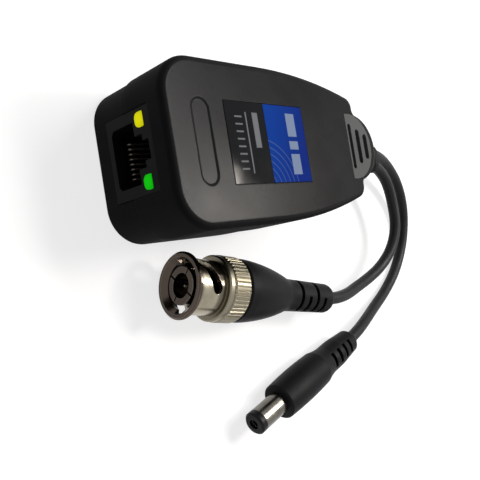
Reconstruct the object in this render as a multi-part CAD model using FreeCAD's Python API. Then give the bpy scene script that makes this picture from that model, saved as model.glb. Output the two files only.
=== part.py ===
"""Passive video and power balun: a two-shell housing with a modular socket, and two leads with plugs.

Millimetres. The housing stands on z = 0 with its label up, the socket faces -Y and the leads leave at +Y.
The origin is the centre of the housing's underside.
"""
import FreeCAD, Part
import math
import os
from FreeCAD import Vector

# Housing shells
HOUSING_LENGTH = 66.3
HOUSING_WIDTH = 33.0
HOUSING_HEIGHT = 23.5
SEAM_HEIGHT = 10.5
WALL = 1.8
FLOOR = 2.0
ROOF = 2.4
FRONT_CORNER_RADIUS = 8.0
TAPER_START = 27.0
SHOULDER_FROM_NOSE = 7.3
SHOULDER_FLAT = 0.4
SHOULDER_RADIUS = 2.8
NOSE_RADIUS = 8.3
NOSE_BLEND_RADIUS = 1.2
TOP_EDGE_RADIUS = 1.4
BOTTOM_EDGE_RADIUS = 0.5
SEAM_STEP = 0.3
FIT_GAP = 0.1
LAP_LENGTH = 16.0
LAP_HEIGHT = 1.6
LAP_THICKNESS = 1.0
LAP_FROM_FRONT = 24.0

# Finger recess, label and strain-relief trim on the top face
RECESS_LENGTH = 17.0
RECESS_WIDTH = 4.7
RECESS_DEPTH = 0.2
RECESS_DRAFT = 0.5
RECESS_FROM_FRONT = 8.6
LABEL_WIDTH = 16.4
LABEL_LENGTH = 23.3
LABEL_FROM_FRONT = 14.8
LABEL_BLUE_LENGTH = 12.2
LABEL_FILM = 0.2
LABEL_PRINT = 0.03
LABEL_POCKET = 0.18
LABEL_GAP = 0.15
TRIM_RADIUS = 8.0
TRIM_TIP_FROM_NOSE = 2.4
TRIM_LENGTH = 9.3
TRIM_THICKNESS = 1.4
TRIM_SLOT_DEPTH = 0.9
TRIM_SLOTS = ((1.2, 5.5, 1.2), (4.15, 4.2, 1.6), (7.1, 3.1, 1.6))

# Screws and their bosses
SCREW_RADIUS = 1.1
SCREW_HEAD_RADIUS = 1.9
SCREW_HEAD_HEIGHT = 1.3
SCREW_LENGTH = 9.0
SCREW_RECESS = 1.0
SCREW_CROSS_WIDTH = 0.5
SCREW_CROSS_DEPTH = 0.8
BOSS_RADIUS = 2.7
SCREW_SPOTS = ((11.9, 0.172), (8.6, 0.748))

# Circuit board and what stands on it: a share is a distance from the front over the housing's length
BOARD_THICKNESS = 1.6
BOARD_STANDOFF = 1.2
BOARD_HALF_WIDTH = 9.0
BOARD_REAR_HALF_WIDTH = 5.6
BOARD_FROM_FRONT = 2.2
BOARD_WIDE_SHARE = 0.652
BOARD_NARROW_SHARE = 0.689
BOARD_END_SHARE = 0.852
RIB_WIDTH = 1.2
RIB_SHARES = (0.141, 0.444, 0.8)
CORE_OUTER_RADIUS = 5.4
CORE_INNER_RADIUS = 2.9
CORE_HEIGHT = 3.4
CORE_SHARE = 0.467
WIRE_TURNS = 14
TURN_WIRE = 0.4
TURN_GAP = 0.05
ARRESTER_SIZE = (4.3, 2.6, 2.2)
ARRESTER_SPOTS = ((-6.8, 0.385), (6.8, 0.385))
CAPACITOR_RADIUS = 3.1
CAPACITOR_HEIGHT = 7.5
CAPACITOR_SPOT = (0.0, 0.622)
FUSE_RADIUS = 3.0
FUSE_THICKNESS = 1.6
FUSE_LEG = 0.3
FUSE_LEG_SPREAD = 2.5
FUSE_STANDOFF = 1.5
FUSE_SPOT = (0.0, 0.7185)
RESISTOR_SIZE = (1.25, 2.0, 0.55)
RESISTOR_SPOTS = ((-7.2, 0.563), (-4.9, 0.563), (4.9, 0.563), (7.2, 0.563))
CORE_WIRE_RADIUS = 0.55
CORE_WIRE_BEND = 3.0
CORE_WIRE_SPREAD = 0.65
CORE_WIRE_PAD_SHARE = 0.815

# Modular socket, its contacts and light windows
SOCKET_WIDTH = 16.2
SOCKET_HEIGHT = 14.0
SOCKET_DEPTH = 21.0
SOCKET_FLOOR = 1.4
SOCKET_SETBACK = 0.15
CAVITY_WIDTH = 11.8
CAVITY_HEIGHT = 7.4
CAVITY_DEPTH = 14.0
CAVITY_CHAMFER = 0.8
LATCH_WIDTH = 6.3
LATCH_HEIGHT = 2.3
LATCH_SLOT_WIDTH = 3.8
LATCH_SLOT_HEIGHT = 1.8
CONTACT_PITCH = 1.016
CONTACT_COUNT = 8
CONTACT_WIRE_RADIUS = 0.23
CONTACT_HAIRPIN = 0.55
CONTACT_SETBACK = 3.4
CONTACT_RISE_DEG = 14.0
CONTACT_BLADE = 7.0
CONTACT_ROW_NEAR = 16.0
CONTACT_ROW_STEP = 2.54
CONTACT_BEND = 0.4
PIN_BELOW_BOARD = 0.6
CARRIER_THICKNESS = 1.2
CARRIER_GROOVE = 0.6
CARRIER_SETBACK = 2.4
WINDOW_WIDTH = 2.8
WINDOW_HEIGHT = 2.45
WINDOW_UPPER_CORNER = 0.25
WINDOW_LOWER_CORNER = 1.1
WINDOW_LENGTH = 9.0
WINDOW_CENTRE_X = 5.85
WINDOW_CENTRE_UP = 10.88
WINDOW_PROUD = 0.12
LIGHT_LEAD_RADIUS = 0.25
LIGHT_LEAD_SPREAD = 0.65
LIGHT_LEAD_BEHIND = 0.6
LIGHT_LEAD_BEND = 0.5

# Cord grommet in the nose
GROMMET_NECK_WIDTH = 8.0
GROMMET_NECK_HEIGHT = 5.0
GROMMET_FLANGE_GROWTH = 0.8
GROMMET_STUB = 17.4
GROMMET_TAPER = 0.15
GROMMET_FLANGE_THICKNESS = 1.4
GROMMET_RING = 1.6
GROMMET_RING_SPOTS = (0.15, 0.32, 0.49, 0.66, 0.83, 1.0)
LEAD_SPREAD = 1.8
LEAD_SOCKET = 2.0
LEAD_SOCKET_GAP = 0.04

# Leads, as points of their routes after the straight stretch out of the grommet
LEAD_RADIUS = 1.6
VIDEO_LEAD_POINTS = (
    (5.6, 57.8, 9.9),
    (11.4, 60.7, 9.1),
    (20.0, 61.9, 8.4),
    (26.8, 58.8, 7.4),
    (31.4, 53.1, 6.3),
    (34.0, 46.4, 5.6),
    (35.6, 39.2, 5.9),
    (36.7, 33.3, 6.7),
)
POWER_LEAD_POINTS = (
    (0.4, 62.0, 8.2),
    (6.2, 70.4, 6.2),
    (14.6, 74.9, 4.3),
    (24.7, 74.4, 2.5),
    (33.6, 68.6, 1.72),
    (39.6, 60.1, 1.72),
    (43.4, 51.1, 2.4),
    (46.0, 43.7, 3.8),
)
LEAD_STRAIGHT_AT_GROMMET = 3.6
LEAD_STRAIGHT_AT_PLUG = 4.6
ARC_SHARE = 0.45

# Bayonet plug: its axis starts at the rim's face and runs back towards the lead
BAYONET_RIM_X = 25.75
BAYONET_RIM_Y = -23.55
BAYONET_ANGLE = 77.5
NUT_RADIUS = 7.3
NUT_CLEAR_OF_TABLE = 0.05
RIM_RADIUS = 7.05
RIM_LENGTH = 1.0
RIM_ROUNDING = 0.4
RIM_MOUTH_RADIUS = 6.0
RIM_MOUTH_DEPTH = 1.2
NECK_RADIUS = 5.95
NUT_BORE_RADIUS = 4.95
NUT_SHOULDER_AT = 8.2
NUT_STEP_WALL = 0.8
NUT_KNURL_AT = 9.7
NUT_LENGTH = 14.2
NUT_COLLAR_RADIUS = 7.15
NUT_COUNTERBORE_RADIUS = 6.2
NUT_LIP_AT = 12.6
KNURL_TEETH = 48
KNURL_DEPTH = 0.25
KNURL_CHAMFER = 0.3
SLOT_WIDTH = 2.4
SLOT_FRONT_AT = 2.3
SLOT_REAR_AT = 5.8
SLOT_START_DEG = -88.0
SLOT_SWEEP_DEG = 95.0
SLOT_STEPS = 12
SLOT_ENTRY_DEPTH = 0.7
RUNNING_GAP = 0.08
FERRULE_RADIUS = 4.05
FERRULE_BORE_RADIUS = 2.65
FERRULE_AT = 0.7
FERRULE_SLITS = 4
FERRULE_SLIT_WIDTH = 0.4
FERRULE_SLIT_LENGTH = 5.5
FERRULE_SLIT_TURN = 35.0
COLLAR_LENGTH = 1.0
BODY_NECK_RADIUS = 5.0
BODY_NECK_END = 17.0
STEM_RADIUS = 2.4
STEM_BORE_RADIUS = 1.5
STEM_END = 24.0
GASKET_SETBACK = 0.15
GASKET_LENGTH = 0.5
THRUST_WASHER_THICKNESS = 0.5
WAVE_THICKNESS = 0.2
WAVE_HEIGHT = 0.3
WAVE_COUNT = 3
DIELECTRIC_AT = 5.3
DIELECTRIC_END = 16.0
PIN_RADIUS = 0.685
PIN_AT = 1.7
PIN_END = 20.0
PIN_POINT = 0.8
SLEEVE_WALL = 0.5
SLEEVE_START = 17.3
SLEEVE_END = 27.0
VIDEO_BOOT_AT = 14.5
VIDEO_BOOT_RADIUS = 7.1
VIDEO_BOOT_BARREL_END = 17.0
VIDEO_BOOT_EDGE = 0.5
VIDEO_BOOT_SWELL = (24.4, 6.05)
VIDEO_BOOT_SHOULDER = (29.8, 4.55)
VIDEO_BOOT_BLEND = (31.1, 4.1)
VIDEO_BOOT_TAIL_AT = 46.4
VIDEO_BOOT_TIP_ROUND = (47.6, 3.0)
VIDEO_BOOT_NECK_AT = 32.6
VIDEO_BOOT_NECK_RADIUS = 3.9
VIDEO_BOOT_TAIL_RADIUS = 3.7
VIDEO_BOOT_END = 48.0
VIDEO_BOOT_TIP_RADIUS = 2.1
VIDEO_BOOT_SLOTS = ((34.9, -10.0), (37.8, 90.0), (40.7, -10.0), (43.5, 90.0))
VIDEO_BOOT_SLOT_DEPTH = 1.3
VIDEO_BOOT_SLOT_SPAN = 170.0
BOOT_SLOT_WIDTH = 1.1

# Barrel plug: its axis starts at the tip and runs back towards the lead
BARREL_TIP_X = 59.82
BARREL_TIP_Y = -6.38
BARREL_ANGLE = 105.0
BARREL_RADIUS = 2.75
BARREL_WALL = 0.35
BARREL_LENGTH = 9.3
BARREL_HIDDEN = 5.0
TIP_RING_LENGTH = 1.7
TIP_RING_ROUNDING = 0.4
TIP_BORE_STEP = 0.15
BARREL_HIDDEN_RADIUS = 2.5
CENTRE_BORE_RADIUS = 1.05
CENTRE_WALL = 0.3
CENTRE_SETBACK = 0.8
CENTRE_LENGTH = 10.5
POWER_BOOT_FRONT_RADIUS = 4.4
POWER_BOOT_RADIUS = 4.7
POWER_BOOT_FRONT_ROUNDING = 0.4
POWER_BOOT_WIDEST_AT = 19.0
POWER_BOOT_SHOULDER_AT = 25.5
POWER_BOOT_NECK_AT = 29.6
POWER_BOOT_NECK_RADIUS = 3.75
POWER_BOOT_TAPER_AT = 34.0
POWER_BOOT_TAIL_AT = 40.6
POWER_BOOT_TAIL_RADIUS = 3.15
POWER_BOOT_END = 42.0
POWER_BOOT_TIP_RADIUS = 2.2
POWER_BOOT_SLOT_FIRST = 29.6
POWER_BOOT_SLOT_PITCH = 2.65
POWER_BOOT_SLOT_COUNT = 4
POWER_BOOT_SLOT_TURNS = (-4.0, 176.0)
POWER_BOOT_SLOT_DEPTH = 1.0
POWER_BOOT_SLOT_SPAN = 64.0

# Values that follow from the sizes above
FRONT_Y = -HOUSING_LENGTH / 2
NOSE_TIP_Y = HOUSING_LENGTH / 2
HALF_WIDTH = HOUSING_WIDTH / 2
SHOULDER_Y = NOSE_TIP_Y - SHOULDER_FROM_NOSE
SOCKET_Y = FRONT_Y + SOCKET_SETBACK
NOSE_CENTRE_Y = NOSE_TIP_Y - NOSE_RADIUS
ROOF_UNDERSIDE = HOUSING_HEIGHT - ROOF
BOARD_BOTTOM = FLOOR + BOARD_STANDOFF
BOARD_TOP = BOARD_BOTTOM + BOARD_THICKNESS
SOCKET_TOP = BOARD_TOP + SOCKET_HEIGHT
CAVITY_FLOOR = BOARD_TOP + SOCKET_FLOOR
CAVITY_ROOF = CAVITY_FLOOR + CAVITY_HEIGHT
TRIM_TIP_Y = NOSE_TIP_Y - TRIM_TIP_FROM_NOSE
TRIM_EDGE_Y = TRIM_TIP_Y - TRIM_LENGTH
GROMMET_FACE_Y = NOSE_TIP_Y + GROMMET_STUB
BAYONET_AXIS_Z = NUT_RADIUS + NUT_CLEAR_OF_TABLE
BARREL_AXIS_Z = POWER_BOOT_RADIUS
NUT_COUNTERBORE_AT = NUT_SHOULDER_AT + NUT_STEP_WALL
GASKET_AT = NUT_COUNTERBORE_AT + GASKET_SETBACK
COLLAR_AT = GASKET_AT + GASKET_LENGTH + FIT_GAP / 2
COLLAR_RADIUS = NUT_COUNTERBORE_RADIUS - RUNNING_GAP
COLLAR_END = COLLAR_AT + COLLAR_LENGTH
LIP_BORE_RADIUS = BODY_NECK_RADIUS + RUNNING_GAP
EXTRA = 1.0
X_AXIS = Vector(1, 0, 0)
Y_AXIS = Vector(0, 1, 0)
Z_AXIS = Vector(0, 0, 1)
ORIGIN = Vector(0, 0, 0)


def block(x_low, x_high, y_low, y_high, z_low, z_high):
    """A box between two corners."""
    return Part.makeBox(x_high - x_low, y_high - y_low, z_high - z_low, Vector(x_low, y_low, z_low))


def arc_about(centre, radius, start_deg, end_deg, z):
    """A circular arc about a centre in the plan view."""
    def at(angle):
        turn = math.radians(angle)
        return Vector(centre[0] + radius * math.cos(turn), centre[1] + radius * math.sin(turn), z)
    return Part.Arc(at(start_deg), at((start_deg + end_deg) / 2), at(end_deg)).toShape()


def edge(start, end):
    return Part.LineSegment(start, end).toShape()


def housing_outline(inset, z):
    """The housing's plan outline, moved inwards by inset, as a closed wire at height z."""
    corner = (HALF_WIDTH - FRONT_CORNER_RADIUS, FRONT_Y + FRONT_CORNER_RADIUS)
    blend_y = SHOULDER_Y + NOSE_BLEND_RADIUS
    blend_x = math.sqrt((NOSE_RADIUS + NOSE_BLEND_RADIUS) ** 2 - (blend_y - NOSE_CENTRE_Y) ** 2)
    blend_deg = math.degrees(math.atan2(blend_y - NOSE_CENTRE_Y, blend_x))
    shoulder_y = SHOULDER_Y - SHOULDER_RADIUS
    shoulder_x = blend_x + SHOULDER_FLAT
    run = shoulder_y - FRONT_Y - TAPER_START
    step = HALF_WIDTH - shoulder_x
    taper_radius = (step ** 2 + run ** 2 - SHOULDER_RADIUS ** 2) / (2 * (step - SHOULDER_RADIUS))
    taper = (HALF_WIDTH - taper_radius, FRONT_Y + TAPER_START)
    shoulder_deg = math.degrees(math.atan2(run, shoulder_x - taper[0]))
    half = HALF_WIDTH - inset
    right = [
        edge(Vector(0, FRONT_Y + inset, z), Vector(corner[0], FRONT_Y + inset, z)),
        arc_about(corner, FRONT_CORNER_RADIUS - inset, -90, 0, z),
        edge(Vector(half, corner[1], z), Vector(half, taper[1], z)),
        arc_about(taper, taper_radius - inset, 0, shoulder_deg, z),
        arc_about((shoulder_x, shoulder_y), SHOULDER_RADIUS - inset, shoulder_deg, 90, z),
        edge(Vector(shoulder_x, SHOULDER_Y - inset, z), Vector(blend_x, SHOULDER_Y - inset, z)),
        arc_about((blend_x, blend_y), NOSE_BLEND_RADIUS + inset, 270, blend_deg + 180, z),
        arc_about((0, NOSE_CENTRE_Y), NOSE_RADIUS - inset, blend_deg, 90, z),
    ]
    left = [piece.mirror(ORIGIN, X_AXIS) for piece in right]
    return Part.Wire(Part.__sortEdges__(right + left))


def housing_prism(inset, z_low, z_high):
    return Part.Face(housing_outline(inset, z_low)).extrude(Vector(0, 0, z_high - z_low))


def rounded_at(solid, z, radius):
    """The solid with its outer edges at height z rounded."""
    edges = [e for e in solid.Edges if abs(e.BoundBox.ZMin - z) < 1e-6 and abs(e.BoundBox.ZMax - z) < 1e-6]
    return solid.makeFillet(radius, edges)


def stadium(length, width, centre_y, z):
    """A slot-shaped wire along X."""
    reach = (length - width) / 2
    radius = width / 2
    return Part.Wire([
        edge(Vector(-reach, centre_y - radius, z), Vector(reach, centre_y - radius, z)),
        arc_about((reach, centre_y), radius, -90, 90, z),
        edge(Vector(reach, centre_y + radius, z), Vector(-reach, centre_y + radius, z)),
        arc_about((-reach, centre_y), radius, 90, 270, z),
    ])


def upright_stadium(width, height, y_low, y_high):
    """A slot-shaped bar along Y, centred on the seam."""
    reach = (width - height) / 2
    radius = height / 2
    bar = block(-reach, reach, y_low, y_high, SEAM_HEIGHT - radius, SEAM_HEIGHT + radius)
    for x in (-reach, reach):
        bar = bar.fuse(Part.makeCylinder(radius, y_high - y_low, Vector(x, y_low, SEAM_HEIGHT), Y_AXIS))
    return bar.removeSplitter()


def at_share(share):
    """The y of what stands at a share of the housing's length behind its front."""
    return FRONT_Y + share * HOUSING_LENGTH


def screw_spots():
    return [(side * x, at_share(share)) for x, share in SCREW_SPOTS for side in (-1, 1)]


def turned(points):
    """A solid turned about the local X axis from (station, radius) points."""
    wire = Part.makePolygon([Vector(s, 0, r) for s, r in points + [points[0]]])
    return Part.Face(wire).revolve(ORIGIN, X_AXIS, 360)


def turned_edges(edges):
    return Part.Face(Part.Wire(Part.__sortEdges__(edges))).revolve(ORIGIN, X_AXIS, 360)


def ring(s_low, s_high, r_inner, r_outer):
    return turned([(s_low, r_inner), (s_high, r_inner), (s_high, r_outer), (s_low, r_outer)])


def rod(s_low, s_high, radius):
    return Part.makeCylinder(radius, s_high - s_low, Vector(s_low, 0, 0), X_AXIS)


def spun(shape, degrees):
    """A copy turned about the local X axis."""
    copy = shape.copy()
    copy.rotate(ORIGIN, X_AXIS, degrees)
    return copy


def seated(shape, tip, angle):
    """A plug's piece moved from its own axis to where the plug lies."""
    copy = shape.copy()
    copy.rotate(ORIGIN, Z_AXIS, angle)
    copy.translate(tip)
    return copy


def on_axis(tip, angle, station):
    turn = math.radians(angle)
    return tip + Vector(math.cos(turn), math.sin(turn), 0) * station


BAYONET_TIP = Vector(BAYONET_RIM_X, BAYONET_RIM_Y, BAYONET_AXIS_Z)
BARREL_TIP = Vector(BARREL_TIP_X, BARREL_TIP_Y, BARREL_AXIS_Z)


def on_bayonet(shape):
    return seated(shape, BAYONET_TIP, BAYONET_ANGLE)


def on_barrel(shape):
    return seated(shape, BARREL_TIP, BARREL_ANGLE)


def wire_solid(points, radius, bends):
    """A round wire through points, each corner rounded with its own bend radius."""
    edges = []
    start = points[0]
    for before, corner, after, bend in zip(points, points[1:], points[2:], bends):
        to_corner = (corner - before).normalize()
        away = (after - corner).normalize()
        turn = to_corner.getAngle(away)
        reach = bend * math.tan(turn / 2)
        first = corner - to_corner * reach
        last = corner + away * reach
        inward = (away - to_corner).normalize()
        centre = corner + inward * (bend / math.cos(turn / 2))
        middle = centre - inward * bend
        edges.append(edge(start, first))
        edges.append(Part.Arc(first, middle, last).toShape())
        start = last
    edges.append(edge(start, points[-1]))
    path = Part.Wire(edges)
    profile = Part.Wire(Part.makeCircle(radius, points[0], points[1] - points[0]))
    solid = path.makePipeShell([profile], True, False)
    return solid, path.Length


def jack_opening():
    """What the shells leave free for the modular socket."""
    half = SOCKET_WIDTH / 2 + FIT_GAP
    return block(-half, half, FRONT_Y - EXTRA, FRONT_Y + WALL + EXTRA, BOARD_TOP - FIT_GAP, SOCKET_TOP + FIT_GAP)


def make_top_cover():
    shell = rounded_at(housing_prism(0, SEAM_HEIGHT, HOUSING_HEIGHT), HOUSING_HEIGHT, TOP_EDGE_RADIUS)
    shell = shell.cut(housing_prism(WALL, SEAM_HEIGHT - EXTRA, ROOF_UNDERSIDE))
    bosses = []
    for x, y in screw_spots():
        boss = Part.makeCylinder(BOSS_RADIUS, HOUSING_HEIGHT - SEAM_HEIGHT, Vector(x, y, SEAM_HEIGHT))
        bosses.append(boss.common(housing_prism(WALL / 2, SEAM_HEIGHT, ROOF_UNDERSIDE + ROOF / 2)))
    shell = shell.fuse(bosses).removeSplitter()
    cuts = [jack_opening(), upright_stadium(GROMMET_NECK_WIDTH, GROMMET_NECK_HEIGHT, NOSE_CENTRE_Y, GROMMET_FACE_Y)]
    thread_top = SCREW_RECESS + SCREW_LENGTH
    for x, y in screw_spots():
        cuts.append(Part.makeCylinder(SCREW_RADIUS, thread_top + FIT_GAP - SEAM_HEIGHT + EXTRA,
                                      Vector(x, y, SEAM_HEIGHT - EXTRA)))
    recess_y = FRONT_Y + RECESS_FROM_FRONT
    recess_low = HOUSING_HEIGHT - RECESS_DEPTH
    grow = 2 * RECESS_DRAFT
    cuts.append(Part.makeLoft([
        stadium(RECESS_LENGTH - grow, RECESS_WIDTH - grow, recess_y, recess_low),
        stadium(RECESS_LENGTH, RECESS_WIDTH, recess_y, HOUSING_HEIGHT),
    ], True))
    half = LABEL_WIDTH / 2 + LABEL_GAP
    label_y = FRONT_Y + LABEL_FROM_FRONT
    cuts.append(block(-half, half, label_y - LABEL_GAP, label_y + LABEL_LENGTH + LABEL_GAP,
                      HOUSING_HEIGHT - LABEL_POCKET, HOUSING_HEIGHT + EXTRA))
    cuts.append(trim_plan(HOUSING_HEIGHT - TRIM_THICKNESS, TRIM_THICKNESS + EXTRA, 0))
    return shell.cut(cuts)


def make_base_shell():
    shell = rounded_at(housing_prism(SEAM_STEP, 0, SEAM_HEIGHT), 0, BOTTOM_EDGE_RADIUS)
    shell = shell.cut(housing_prism(WALL, FLOOR, SEAM_HEIGHT + EXTRA))
    additions = []
    for side in (-1, 1):
        inner = side * (HALF_WIDTH - WALL - FIT_GAP - LAP_THICKNESS)
        outer = side * (HALF_WIDTH - WALL - FIT_GAP)
        low, high = sorted((inner, outer))
        y_low = FRONT_Y + LAP_FROM_FRONT - LAP_LENGTH / 2
        lap = block(low, high, y_low, y_low + LAP_LENGTH, SEAM_HEIGHT - LAP_HEIGHT, SEAM_HEIGHT + LAP_HEIGHT)
        root_low, root_high = sorted((inner, side * (HALF_WIDTH - WALL + FIT_GAP)))
        root = block(root_low, root_high, y_low, y_low + LAP_LENGTH, SEAM_HEIGHT - LAP_HEIGHT, SEAM_HEIGHT)
        additions.append(lap.fuse(root).common(housing_prism(WALL + FIT_GAP, 0, HOUSING_HEIGHT)
                                               .fuse(housing_prism(WALL - FIT_GAP, 0, SEAM_HEIGHT))))
    for x, y in screw_spots():
        boss = Part.makeCylinder(BOSS_RADIUS, SEAM_HEIGHT - FLOOR / 2, Vector(x, y, FLOOR / 2))
        additions.append(boss.common(housing_prism(WALL / 2 + SEAM_STEP, 0, SEAM_HEIGHT)))
    for share in RIB_SHARES:
        half = BOARD_REAR_HALF_WIDTH
        additions.append(block(-half, half, at_share(share) - RIB_WIDTH / 2, at_share(share) + RIB_WIDTH / 2,
                               FLOOR / 2, BOARD_BOTTOM))
    shell = shell.fuse(additions).removeSplitter()
    cuts = [jack_opening(), upright_stadium(GROMMET_NECK_WIDTH, GROMMET_NECK_HEIGHT, NOSE_CENTRE_Y, GROMMET_FACE_Y)]
    for x, y in screw_spots():
        cuts.append(Part.makeCylinder(SCREW_HEAD_RADIUS + FIT_GAP, SCREW_RECESS + SCREW_HEAD_HEIGHT + EXTRA,
                                      Vector(x, y, -EXTRA)))
        cuts.append(Part.makeCylinder(SCREW_RADIUS + FIT_GAP, SEAM_HEIGHT + EXTRA, Vector(x, y, 0)))
    return shell.cut(cuts)


def trim_plan(z_low, height, inset):
    """The D-shaped plan of the trim, as a solid."""
    centre_y = TRIM_TIP_Y - TRIM_RADIUS
    disc = Part.makeCylinder(TRIM_RADIUS - inset, height, Vector(0, centre_y, z_low))
    return disc.common(block(-TRIM_RADIUS, TRIM_RADIUS, TRIM_EDGE_Y + inset, TRIM_TIP_Y, z_low, z_low + height))


def make_relief_trim():
    body = trim_plan(HOUSING_HEIGHT - TRIM_THICKNESS, TRIM_THICKNESS, FIT_GAP / 2)
    slots = []
    for from_edge, half, width in TRIM_SLOTS:
        face = Part.Face(stadium(2 * half, width, TRIM_EDGE_Y + from_edge, HOUSING_HEIGHT - TRIM_SLOT_DEPTH))
        slots.append(face.extrude(Vector(0, 0, TRIM_SLOT_DEPTH + EXTRA)))
    return body.cut(slots)


def make_housing_screws():
    head_top = SCREW_RECESS + SCREW_HEAD_HEIGHT
    screws = []
    for x, y in screw_spots():
        head = Part.makeCylinder(SCREW_HEAD_RADIUS, SCREW_HEAD_HEIGHT, Vector(x, y, SCREW_RECESS))
        shank = Part.makeCylinder(SCREW_RADIUS - FIT_GAP / 2, SCREW_LENGTH - SCREW_HEAD_HEIGHT, Vector(x, y, head_top))
        arm = SCREW_HEAD_RADIUS * 0.7
        half = SCREW_CROSS_WIDTH / 2
        floor = SCREW_RECESS + SCREW_CROSS_DEPTH
        cross = block(x - arm, x + arm, y - half, y + half, 0, floor)
        cross = cross.fuse(block(x - half, x + half, y - arm, y + arm, 0, floor))
        screws.append(head.fuse(shank).removeSplitter().cut(cross))
    return Part.makeCompound(screws)


def make_label():
    y = FRONT_Y + LABEL_FROM_FRONT
    low = HOUSING_HEIGHT - LABEL_POCKET
    return block(-LABEL_WIDTH / 2, LABEL_WIDTH / 2, y, y + LABEL_LENGTH, low, low + LABEL_FILM)


def make_label_blue_field():
    y_high = FRONT_Y + LABEL_FROM_FRONT + LABEL_LENGTH
    low = HOUSING_HEIGHT - LABEL_POCKET + LABEL_FILM
    return block(-LABEL_WIDTH / 2, LABEL_WIDTH / 2, y_high - LABEL_BLUE_LENGTH, y_high, low, low + LABEL_PRINT)


def window_bar(side, growth, y_low, y_high):
    """The bar of a light window at the socket's upper corner, flat above and round below."""
    half_x = WINDOW_WIDTH / 2 + growth
    half_z = WINDOW_HEIGHT / 2 + growth
    x = side * WINDOW_CENTRE_X
    z = BOARD_TOP + WINDOW_CENTRE_UP
    bar = block(x - half_x, x + half_x, y_low, y_high, z - half_z, z + half_z)
    long_edges = [e for e in bar.Edges if e.BoundBox.YLength > (y_high - y_low) / 2]
    bar = bar.makeFillet(WINDOW_LOWER_CORNER + growth, [e for e in long_edges if e.BoundBox.ZMax < z])
    long_edges = [e for e in bar.Edges if e.BoundBox.YLength > (y_high - y_low) / 2]
    return bar.makeFillet(WINDOW_UPPER_CORNER + growth, [e for e in long_edges if e.BoundBox.ZMin > z + half_z / 2])


def make_jack_housing():
    half = SOCKET_WIDTH / 2
    body = block(-half, half, SOCKET_Y, SOCKET_Y + SOCKET_DEPTH, BOARD_TOP, SOCKET_TOP)
    back = SOCKET_Y + CAVITY_DEPTH
    mouth = SOCKET_Y - EXTRA
    cavity = block(-CAVITY_WIDTH / 2, CAVITY_WIDTH / 2, mouth, back, CAVITY_FLOOR, CAVITY_ROOF)
    low_edges = [e for e in cavity.Edges
                 if e.BoundBox.YLength > EXTRA and abs(e.BoundBox.ZMax - CAVITY_FLOOR) < 1e-6]
    cavity = cavity.makeChamfer(CAVITY_CHAMFER, low_edges)
    latch_top = CAVITY_ROOF + LATCH_HEIGHT
    slot_top = latch_top + LATCH_SLOT_HEIGHT
    cuts = [
        cavity,
        block(-LATCH_WIDTH / 2, LATCH_WIDTH / 2, mouth, back, CAVITY_ROOF - EXTRA, latch_top),
        block(-LATCH_SLOT_WIDTH / 2, LATCH_SLOT_WIDTH / 2, mouth, back, latch_top - EXTRA, slot_top),
    ]
    carrier_half = carrier_half_width() + FIT_GAP
    cuts.append(block(-carrier_half, carrier_half, SOCKET_Y + CARRIER_SETBACK - FIT_GAP, SOCKET_Y + SOCKET_DEPTH + EXTRA,
                      BOARD_TOP - EXTRA, CAVITY_FLOOR))
    cuts.append(block(-carrier_half, carrier_half, SOCKET_Y + CARRIER_SETBACK - FIT_GAP, back,
                      BOARD_TOP, CAVITY_FLOOR + EXTRA))
    for side in (-1, 1):
        cuts.append(window_bar(side, FIT_GAP / 2, mouth, SOCKET_Y + SOCKET_DEPTH + EXTRA))
    return body.cut(cuts)


def carrier_half_width():
    return CONTACT_PITCH * CONTACT_COUNT / 2 + CARRIER_GROOVE


def contact_positions():
    return [(index - (CONTACT_COUNT - 1) / 2) * CONTACT_PITCH for index in range(CONTACT_COUNT)]


def contact_run_height():
    return BOARD_TOP + CARRIER_THICKNESS - CARRIER_GROOVE / 2


def contact_row(index):
    return SOCKET_Y + CONTACT_ROW_NEAR + CONTACT_ROW_STEP * (index % 2)


def make_jack_contact_carrier():
    half = carrier_half_width()
    top = BOARD_TOP + CARRIER_THICKNESS
    body = block(-half, half, SOCKET_Y + CARRIER_SETBACK, SOCKET_Y + SOCKET_DEPTH, BOARD_TOP, top)
    cuts = []
    for index, x in enumerate(contact_positions()):
        groove = CARRIER_GROOVE / 2
        rear = contact_row(index) + groove
        cuts.append(block(x - groove, x + groove, SOCKET_Y, rear, top - CARRIER_GROOVE, top + EXTRA))
        cuts.append(block(x - groove, x + groove, rear - CARRIER_GROOVE, rear, BOARD_TOP - EXTRA, top + EXTRA))
    return body.cut(cuts)


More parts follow.
